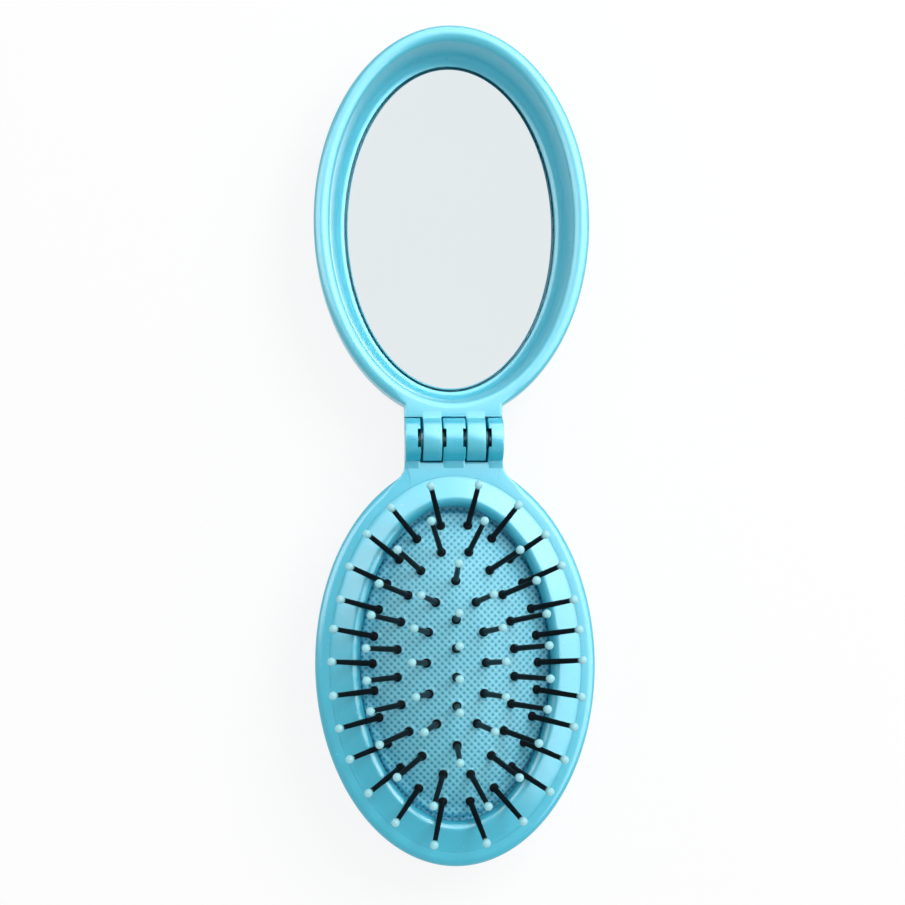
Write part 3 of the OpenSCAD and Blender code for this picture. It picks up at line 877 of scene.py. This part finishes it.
@dataclass
class PinField:
    """Places and leans of the pins, in rings of evenly spaced pins on the domed pad.

    A ring of half width a has half length spine + stretch a; its pins lie at equal
    lengths along it and lean away from it, square to the ring. Soft rubber holds them,
    so each one strays a little: up to stray degrees of azimuth and of lean.
    """

    plan: Plan
    dome: float = 32.0
    apex: float = 21.7
    spine: float = 11.0
    stretch: float = 1.09
    rings: tuple = ((18.2, 26, 0.0, 41.0), (12.9, 20, 0.5, 31.0))
    inner: tuple = (6.5, 12, 0.0, 15.5)
    middle_pitch: float = 6.34
    middle_lean: float = 5.0
    side_sector: float = 17.5
    end_sector: float = 33.0
    stray: tuple[float, float] = (3.5, 1.5)
    seed: int = 5

    def height(self, half_width: np.ndarray | float) -> np.ndarray:
        """Height of the dome on the ring of that half width: a circle's arc."""
        return self.apex - self.dome + np.sqrt(self.dome**2 - np.square(half_width))

    def ring(self, half_width: float, count: int, phase: float, lean: float) -> np.ndarray:
        """Pins of one ring as rows of x, y, z, azimuth and lean."""
        half_length = self.spine + self.stretch * half_width
        table = np.radians(np.arange(0, 361, 2.0))
        line = np.column_stack([half_width * np.cos(table), half_length * np.sin(table)])
        run = np.concatenate([[0], np.cumsum(np.linalg.norm(np.diff(line, axis=0), axis=1))])
        turn = np.interp((np.arange(count) + phase) * run[-1] / count, run, table)
        x, y = half_width * np.cos(turn), half_length * np.sin(turn)
        azimuth = np.degrees(np.arctan2(y / half_length**2, x / half_width**2))
        level = np.full(count, float(self.height(half_width)))
        return np.column_stack([x, y, level, azimuth, np.full(count, lean)])

    def groups(self) -> dict[str, np.ndarray]:
        """Pins of each moving body, by the body's name."""
        outer = np.concatenate([self.ring(*ring) for ring in self.rings])
        side, end = self.side_sector, self.end_sector
        bounds = {
            "right": (-side, side), "near_right": (side, 90 - end), "near": (90 - end, 90 + end),
            "near_left": (90 + end, 180 - side), "left": (180 - side, 180 + side),
            "far_left": (180 + side, 270 - end), "far": (270 - end, 270 + end),
            "far_right": (270 + end, 360 - side)}
        found = {
            name: outer[np.mod(outer[:, 3] - low + 720, 360) < high - low]
            for name, (low, high) in bounds.items()}
        found["inner"] = self.ring(*self.inner)
        draw = np.random.default_rng(self.seed)
        for pins in found.values():
            pins[:, 3:] += draw.uniform(-1, 1, (len(pins), 2)) * self.stray
        place = np.arange(4) - 1.5
        found["middle"] = np.column_stack([
            np.zeros(4), place * self.middle_pitch, np.full(4, self.apex),
            np.where(place > 0, 90.0, -90.0), self.middle_lean * abs(place) / 1.5])
        return found

    def everything(self) -> np.ndarray:
        """All pins in one array."""
        return np.concatenate(list(self.groups().values()))

    @staticmethod
    def frames(pins: np.ndarray) -> np.ndarray:
        """Turn of each pin as a 3 by 3 matrix: leant about Y, then turned about Z."""
        azimuth, lean = np.radians(pins[:, 3]), np.radians(pins[:, 4])
        ca, sa, cl, sl = np.cos(azimuth), np.sin(azimuth), np.cos(lean), np.sin(lean)
        rows = [
            np.stack([ca * cl, -sa, ca * sl], -1),
            np.stack([sa * cl, ca, sa * sl], -1),
            np.stack([-sl, np.zeros_like(sl), cl], -1)]
        return np.stack(rows, 1)

    def turned(self, pins: np.ndarray, profile: np.ndarray, sides: int) -> tuple[np.ndarray, list]:
        """Turned shape, one profile of radius and height, set at every pin."""
        angle = round_turns(sides)
        radii, heights = profile[:, :1], np.repeat(profile[:, 1:], sides, 1)
        shape = np.stack([radii * np.cos(angle), radii * np.sin(angle), heights], -1)
        local = shape.reshape(-1, 3)
        placed = np.einsum("pij,nj->pni", self.frames(pins), local) + pins[:, None, :3]
        single = quads(len(profile), sides, False)
        last = (len(profile) - 1) * sides
        faces = []
        for index in range(len(pins)):
            start = index * len(local)
            faces += (single + start).tolist()
            faces.append([start + i for i in range(sides)][::-1])
            faces.append([start + last + i for i in range(sides)])
        return placed.reshape(-1, 3) - [0, self.plan.centre, 0], faces


@dataclass
class Pins:
    """Black pins with a round collar at the foot, and an epoxy ball on each."""

    field_of_pins: PinField
    length: float = 15.0
    root: float = 0.67
    end: float = 0.55
    collar: float = 1.05
    collar_top: float = 1.05
    head: float = 1.1
    ball: float = 0.95
    sides: int = 20
    ball_sides: int = 18

    def shank_profile(self) -> np.ndarray:
        """Radius and height along a pin, from its hidden head to inside its ball."""
        low, bulge = 0.1, 0.42
        knob = [
            (self.collar - bulge * (1 - math.cos(t)), self.collar_top - bulge + bulge * math.sin(t))
            for t in np.radians([0, 25, 50, 72])]
        return np.array([
            (self.head - 0.15, -2.15), (self.head, -2.0), (self.head, -1.55), (self.root, -1.45),
            (self.root, low), (self.collar - 0.1, low), (self.collar, low + 0.12), *knob,
            (self.root + 0.08, self.collar_top + 0.06),
            (self.root, self.collar_top + 0.22), (self.root - 0.01, 2.0), (0.5 * (self.root + self.end), 7.5),
            (self.end, self.length - 2 * self.ball + 0.3), (self.end, self.length - self.ball)])

    def ball_profile(self) -> np.ndarray:
        """Radius and height of a ball that draws in a little onto its pin."""
        middle = self.length - self.ball
        angles = np.radians(np.linspace(-66, 88, 12))
        sphere = [(self.ball * math.cos(t), middle + self.ball * math.sin(t)) for t in angles]
        foot = middle - self.ball
        return np.array([(self.end + 0.005, foot - 0.02), (self.end + 0.07, foot + 0.03), *sphere])

    def build(self) -> list[tuple[bpy.types.Object, bpy.types.Object, str]]:
        """Make the pins and the balls of each group, with the group's name."""
        made = []
        for name, pins in self.field_of_pins.groups().items():
            skin = self.field_of_pins.turned(pins, self.shank_profile(), self.sides)
            shanks = make_piece(f"shanks_{name}", *skin, Palette.PIN, sharp=50)
            skin = self.field_of_pins.turned(pins, self.ball_profile(), self.ball_sides)
            drops = make_piece(f"drops_{name}", *skin, Palette.BALL, sharp=60)
            made.append((shanks, drops, name))
        return made


@dataclass
class Pad:
    """Domed rubber membrane with a net of ridges and a low boss round each pin.

    A square grid is drawn onto the oval by x = u sqrt(1 - v^2/2), y = v sqrt(1 - u^2/2),
    so its cells stay even. Each point's ring half width a solves
    (x/a)^2 + (y/(spine + stretch a))^2 = 1, found by halving, and gives its height.
    """

    plan: Plan
    field_of_pins: PinField
    edge: float = 22.3
    opening: float = 21.4
    thickness: float = 1.2
    dimple: float = 0.2
    boss_rise: float = 0.22
    boss_width: float = 1.5
    shelf: float = 15.2
    shelf_to: float = 20.4
    columns: int = 218
    rows: int = 322

    def level(self, x: np.ndarray, y: np.ndarray) -> np.ndarray:
        """Height of the plain rubber over a point.

        It is the dome d, which passes softly into a level shelf that rounds down like an
        ellipse to the clamped edge: (d + s + sqrt((d - s)^2 + e^2)) / 2 with the shelf s.
        """
        pins = self.field_of_pins
        low, high = np.full(x.shape, 1e-3), np.full(x.shape, 30.0)
        for _ in range(40):
            middle = (low + high) / 2
            outside = (x / middle) ** 2 + (y / (pins.spine + pins.stretch * middle)) ** 2 > 1
            low, high = np.where(outside, middle, low), np.where(outside, high, middle)
        half_width = np.minimum((low + high) / 2, self.opening + 0.6)
        dome, foot = pins.height(half_width), pins.height(self.opening)
        over = np.clip((half_width - self.shelf_to) / (self.opening - self.shelf_to), 0, 1)
        shelf = foot + (self.shelf - foot) * np.sqrt(1 - over * over)
        ease = 0.5 * (1 - smooth(self.shelf_to - 0.3, self.opening - 0.2, half_width))
        return (dome + shelf + np.sqrt((dome - shelf) ** 2 + ease**2)) / 2

    def surface(self, x: np.ndarray, y: np.ndarray) -> np.ndarray:
        """Height of the rubber: the dome less its dimples, plus a boss round each pin."""
        finish = Palette.PAD.value
        across, along = x / finish.pitch_mm, (y - self.plan.centre) / (2 * finish.row_mm)
        p, q = 2 * math.pi * (across + along), 2 * math.pi * (across - along)
        net = ((1 + np.cos(p)) * (1 + np.cos(q)) / 4) ** finish.sharpness
        pins = self.field_of_pins.everything()
        distance = np.full(x.shape, 99.0)
        for pin in pins:
            tilt = math.cos(math.radians(min(pin[4], 34.0)))
            way = np.radians(pin[3])
            dx, dy = x - pin[0], y - pin[1]
            along_lean = (dx * math.cos(way) + dy * math.sin(way)) / tilt
            sideways = -dx * math.sin(way) + dy * math.cos(way)
            distance = np.minimum(distance, np.hypot(along_lean, sideways))
        near = 1 - smooth(self.boss_width * 0.72, self.boss_width, distance)
        return self.level(x, y) - self.dimple * net * (1 - near) + self.boss_rise * near

    def build(self) -> bpy.types.Object:
        """Make the pad: top grid, edge, and a plain underside."""
        u, v = np.meshgrid(np.linspace(-1, 1, self.columns), np.linspace(-1, 1, self.rows))
        x = self.edge * u * np.sqrt(1 - v * v / 2)
        y = (self.edge + self.plan.extra) * v * np.sqrt(1 - u * u / 2)
        top = np.stack([x, y, self.surface(x, y)], -1).reshape(-1, 3)
        number = np.arange(self.rows * self.columns).reshape(self.rows, self.columns)
        corners = [number[:-1, :-1], number[:-1, 1:], number[1:, 1:], number[1:, :-1]]
        cells = np.stack(corners, -1).reshape(-1, 4)
        border = np.concatenate([number[0, :-1], number[:-1, -1], number[-1, :0:-1], number[:0:-1, 0]])
        rim = top[border]
        rings = []
        for share in (1.0, 0.8, 0.6, 0.4, 0.2):
            flat = rim[:, :2] * share
            level = self.level(flat[:, 0], flat[:, 1]) - self.thickness
            rings.append(np.column_stack([flat, level]))
        count = len(border)
        under = quads(len(rings), count, False)[:, ::-1] + len(top)
        step = np.arange(count)
        beside = (step + 1) % count
        side = np.stack([border[step], len(top) + step, len(top) + beside, border[beside]], -1)
        points = np.concatenate([top, *rings])
        last = len(points) - count
        faces = cells.tolist() + side.tolist() + under.tolist() + [[last + i for i in range(count)][::-1]]
        return make_piece("rubber_pad", points - [0, self.plan.centre, 0], faces, Palette.PAD, sharp=70)


@dataclass
class Button:
    """Push button in the back: an oval cap with a rounded edge and a shallow dish."""

    plan: Plan
    half_width: float = 9.5
    thickness: float = 2.4
    recess: float = 7.8
    dish: float = 0.6

    def build(self) -> bpy.types.Object:
        """Make the button; the dish is a shallow cosine hollow in the face that is pushed."""
        turns = round_turns(192)
        top = self.recess + self.thickness
        rings = []
        for share in np.linspace(0.06, 1, 14):
            width, extra = (self.half_width - 1.0) * share, self.plan.extra * share
            hollow = self.dish * (0.5 + 0.5 * math.cos(math.pi * share))
            level = np.full(len(turns), self.recess + hollow)
            rings.append(np.column_stack([width * np.cos(turns), (width + extra) * np.sin(turns), level]))
        for t in np.radians(np.linspace(15, 90, 7)):
            width = self.half_width - 1.0 + math.sin(t)
            rings.append(self.plan.ring(turns, width, self.recess + 1 - math.cos(t)))
        rings.append(self.plan.ring(turns, self.half_width, top - 0.2))
        rings.append(self.plan.ring(turns, self.half_width - 0.2, top))
        points, faces = sweep(rings)
        return make_piece("push_button", points - [0, self.plan.centre, 0], faces, Palette.BUTTON)


# Studio


@dataclass(frozen=True)
class Card:
    """Glowing rectangle hung between two places, seen only as a soft reflection."""

    name: str
    near: tuple[float, float, float]
    far: tuple[float, float, float]
    width: float
    radiance: float

    def hang(self, receivers: bpy.types.Collection) -> None:
        """Add the card, which acts only on the gloss of the receivers."""
        near, far = Vector(self.near), Vector(self.far)
        down = (far - near).normalized()
        across = Vector((down.y, -down.x, 0)).normalized()
        data = bpy.data.lights.new(self.name, "AREA")
        data.shape = "RECTANGLE"
        data.size, data.size_y = self.width, (far - near).length
        data.energy = self.radiance * math.pi * data.size * data.size_y
        holder = linked(self.name, data)
        turn = Matrix((across, down, across.cross(down))).transposed()
        holder.matrix_world = Matrix.Translation((near + far) / 2) @ turn.to_4x4()
        holder.visible_camera = holder.visible_diffuse = False
        holder.light_linking.receiver_collection = receivers


@dataclass(frozen=True)
class Studio:
    """Pale floor, soft light from the upper right, and the camera of the photograph."""

    frame_px: int = 905
    lens_px: float = 2521.2
    distance: float = 567.53
    tilt: tuple[float, float, float] = (-4.78, 2.778, 0.222)
    shift: tuple[float, float] = (0.238, 2.806)
    pivot_height: float = 16.5
    key_place: tuple[float, float, float] = (0.45, 0.4, 0.68)
    key_size: float = 0.6
    key_level: float = 0.42
    fill: float = 0.62
    cards: tuple[Card, ...] = (
        Card("sheen_card", (0.05, 0.05, 0.8), (0.62, 0.62, 0.03), 2.6, 5.6),
        Card("side_card", (-0.16, 0.11, 0.4), (-0.4, 0.11, 0.02), 0.24, 5.0),
    )
    floor_half: float = 3000.0
    floor_glow: float = 0.85
    shade_reach_mm: float = 30.0
    shade_range: tuple[float, float] = (0.03, 0.28)

    def camera(self) -> None:
        """Place the camera.

        The object is turned by tilt about X, Y and Z in that order, moved by shift, and
        looked at from straight above; the camera gets the inverse of that move.
        """
        turn = Matrix.Identity(3)
        for angle, axis in zip(self.tilt, "XYZ"):
            turn = Matrix.Rotation(math.radians(angle), 3, axis) @ turn
        back = turn.transposed()
        eye = back @ Vector((-self.shift[0], -self.shift[1], self.distance))
        eye += Vector((0, 0, self.pivot_height))
        data = bpy.data.cameras.new("photo_camera")
        data.sensor_width = 36.0
        data.sensor_fit = "HORIZONTAL"
        data.lens = self.lens_px * data.sensor_width / self.frame_px
        data.clip_start, data.clip_end = 0.01, 20.0
        holder = linked("photo_camera", data)
        holder.matrix_world = Matrix.Translation(eye * MM) @ back.to_4x4()
        bpy.context.scene.camera = holder

    def key(self) -> None:
        """Add the square soft box, which faces the middle of the object.

        A box of radiance L and side s at distance d and height h lights a level sheet
        to L s^2 h / (pi d^3) of white, and its power is pi L s^2.
        """
        data = bpy.data.lights.new("key_softbox", "AREA")
        away = Vector(self.key_place)
        data.size = self.key_size
        data.energy = self.key_level * math.pi**2 * away.length**3 / away.z
        holder = linked("key_softbox", data)
        holder.location = away
        holder.rotation_euler = (-away).to_track_quat("-Z", "Y").to_euler()
        holder.visible_camera = False

    def sheen(self, pieces: list[bpy.types.Object]) -> None:
        """Hang the cards whose reflections lie on the pieces of moulded plastic and rubber."""
        receivers = bpy.data.collections.new("sheen_receivers")
        for piece in pieces:
            receivers.objects.link(piece)
        for card in self.cards:
            card.hang(receivers)

    def world(self) -> None:
        """Even sky: a soft fill for surfaces, plain white where it is seen or mirrored."""
        world = bpy.data.worlds.new("studio")
        bpy.context.scene.world = world
        tree = fresh_tree(world)
        seen = self.seen(tree)
        strength = add(tree, "ShaderNodeMapRange", {"Value": seen, "To Min": self.fill, "To Max": 1.0})
        sky = add(
            tree, "ShaderNodeBackground",
            {"Color": linear("#ffffff"), "Strength": strength.outputs["Result"]})
        add(tree, "ShaderNodeOutputWorld", {"Surface": sky.outputs["Background"]})

    @staticmethod
    def seen(tree: bpy.types.NodeTree) -> bpy.types.NodeSocket:
        """1 for rays from the camera, a reflection or glass, else 0."""
        path = add(tree, "ShaderNodeLightPath")
        either = add(
            tree, "ShaderNodeMath",
            {0: path.outputs["Is Camera Ray"], 1: path.outputs["Is Glossy Ray"]}, operation="MAXIMUM")
        return add(
            tree, "ShaderNodeMath",
            {0: either.outputs["Value"], 1: path.outputs["Is Transmission Ray"]}, operation="MAXIMUM",
        ).outputs["Value"]

    def floor(self) -> None:
        """Large white sheet, seen partly by its own light, which fails where the object covers it."""
        half = self.floor_half
        corners = np.array([[-half, -half, 0], [half, -half, 0], [half, half, 0], [-half, half, 0]])
        mesh = bpy.data.meshes.new("floor")
        mesh.from_pydata((corners * MM).tolist(), [], [(0, 1, 2, 3)])
        sheet = linked("floor", mesh)
        made = bpy.data.materials.new("studio_paper_white")
        tree = fresh_tree(made)
        spot = add(tree, "ShaderNodeTexCoord")
        grain = add(tree, "ShaderNodeTexNoise", {"Vector": spot.outputs["Object"], "Scale": 900.0})
        paper = add(
            tree, "ShaderNodeMix",
            {"Factor": grain.outputs["Fac"], "A": linear("#fbfbfb"), "B": linear("#f8f8f8")},
            data_type="RGBA")
        plain = add(tree, "ShaderNodeBsdfDiffuse", {"Color": paper.outputs["Result"]})
        shaded, lit_up = self.shade_range
        open_sky = add(
            tree, "ShaderNodeAmbientOcclusion", {"Distance": self.shade_reach_mm * MM}, samples=12)
        lit = add(
            tree, "ShaderNodeMapRange",
            {"Value": open_sky.outputs["AO"], "From Min": shaded, "From Max": lit_up},
            interpolation_type="SMOOTHSTEP")
        glow = add(
            tree, "ShaderNodeEmission",
            {"Color": linear("#ffffff"), "Strength": lit.outputs["Result"]})
        share = add(tree, "ShaderNodeMath", {0: self.seen(tree), 1: self.floor_glow}, operation="MULTIPLY")
        both = add(
            tree, "ShaderNodeMixShader",
            {0: share.outputs["Value"], 1: plain.outputs["BSDF"], 2: glow.outputs["Emission"]})
        add(tree, "ShaderNodeOutputMaterial", {"Surface": both.outputs["Shader"]})
        mesh.materials.append(made)

    def build(self) -> None:
        """Set up the view, the light and the floor."""
        view = bpy.context.scene.view_settings
        view.view_transform = "Standard"
        self.camera()
        self.world()
        self.floor()
        self.key()


# Assembly


@dataclass
class Hairbrush:
    """Whole brush: builds each sub-assembly and ties its pieces to the moving bodies."""

    nodes: dict
    plan: Plan = field(default_factory=Plan)

    def settle(self, piece: bpy.types.Object, body: str, slot: str, *replaced: str) -> None:
        """Tie a piece to its body and hide the solids that it stands for."""
        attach(piece, body)
        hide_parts(*replaced)
        LOG.info("%s: %d faces, rides on %s", piece.name, len(piece.data.polygons), body)

    def build(self) -> list[bpy.types.Object]:
        """Build the pieces from the shells to the small parts.

        Returns:
            The large pieces of plastic and the rubber.
        """
        lid = Lid(self.plan)
        large = [
            Casing(self.plan).build(), PadFrame(self.plan).build(), lid.build(), Button(self.plan).build()]
        places = (
            ("brush", "casing", "back_shell"), ("brush", "frame", "pad_frame"), ("lid", "lid", "lid_shell"),
            ("island", "button", "pop_button"))
        for piece, place in zip(large, places):
            self.settle(piece, *place)
        self.settle(lid.mirror(), "lid", "glass", "mirror")
        pins = PinField(self.plan)
        pad = Pad(self.plan, pins)
        rubber = pad.build()
        self.settle(rubber, "brush", "pad", "pad")
        foot = float(pins.height(pad.opening))
        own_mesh(rubber)
        for shanks, drops, name in Pins(pins).build():
            body = "island" if name in ("inner", "middle") else f"petal_{name}"
            self.settle(shanks, body, "pin", f"pins_{name}")
            self.settle(drops, body, "ball", f"balls_{name}")
        plain = {"hinge_pin": Palette.STEEL, "mirror_tape": Palette.TAPE, "pusher": Palette.PUSHER}
        for node, finish in plain.items():
            dress(self.nodes[node], finish)
            LOG.info("%s: its own solid, finished as %s", node, finish.value.name)
        return [*large, rubber]


def main() -> None:
    """Load the solids, set up the studio, build the looks round them and hang the sheen cards."""
    logging.basicConfig(level=logging.INFO, format="%(name)s: %(message)s")
    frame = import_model()
    studio = Studio()
    studio.build()
    studio.sheen(Hairbrush(frame["nodes"]).build())


if __name__ == "__main__":
    main()
